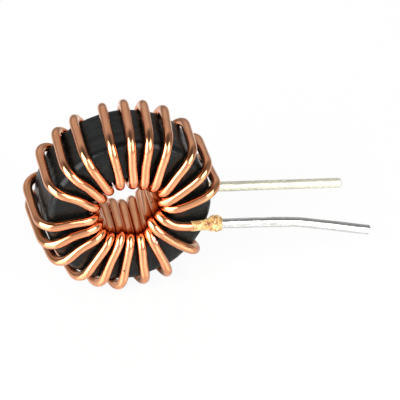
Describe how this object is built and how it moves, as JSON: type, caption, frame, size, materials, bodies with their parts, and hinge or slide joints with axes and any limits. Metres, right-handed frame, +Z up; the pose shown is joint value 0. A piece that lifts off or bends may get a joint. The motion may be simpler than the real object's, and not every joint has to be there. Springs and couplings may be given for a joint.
{
  "type": "toroidal inductor",
  "caption": "Toroidal inductor: a coated ring core wound with one length of thick enamelled copper wire, whose two tinned ends leave one side for soldering.",
  "frame": {"origin": "on the surface that the lowest turns rest on, under the ring's mid-plane, halfway along the part's length", "axes": "+X towards the lead ends, +Y along the ring's axis away from the front face, +Z up"},
  "size_m": [0.056, 0.0154, 0.0316],
  "materials": {
    "core_coat": "satin black epoxy coat",
    "enamelled_copper": "glossy clear enamel over copper",
    "tin": "bright dipped solder",
    "scorched_enamel": "charred enamel and flux, rough"
  },
  "bodies": {
    "root": {"core": "core_coat", "winding": "enamelled_copper", "front_lead_tin": "tin", "rear_lead_tin": "tin", "front_lead_scorch": "scorched_enamel", "rear_lead_scorch": "scorched_enamel"}
  },
  "joints": []
}
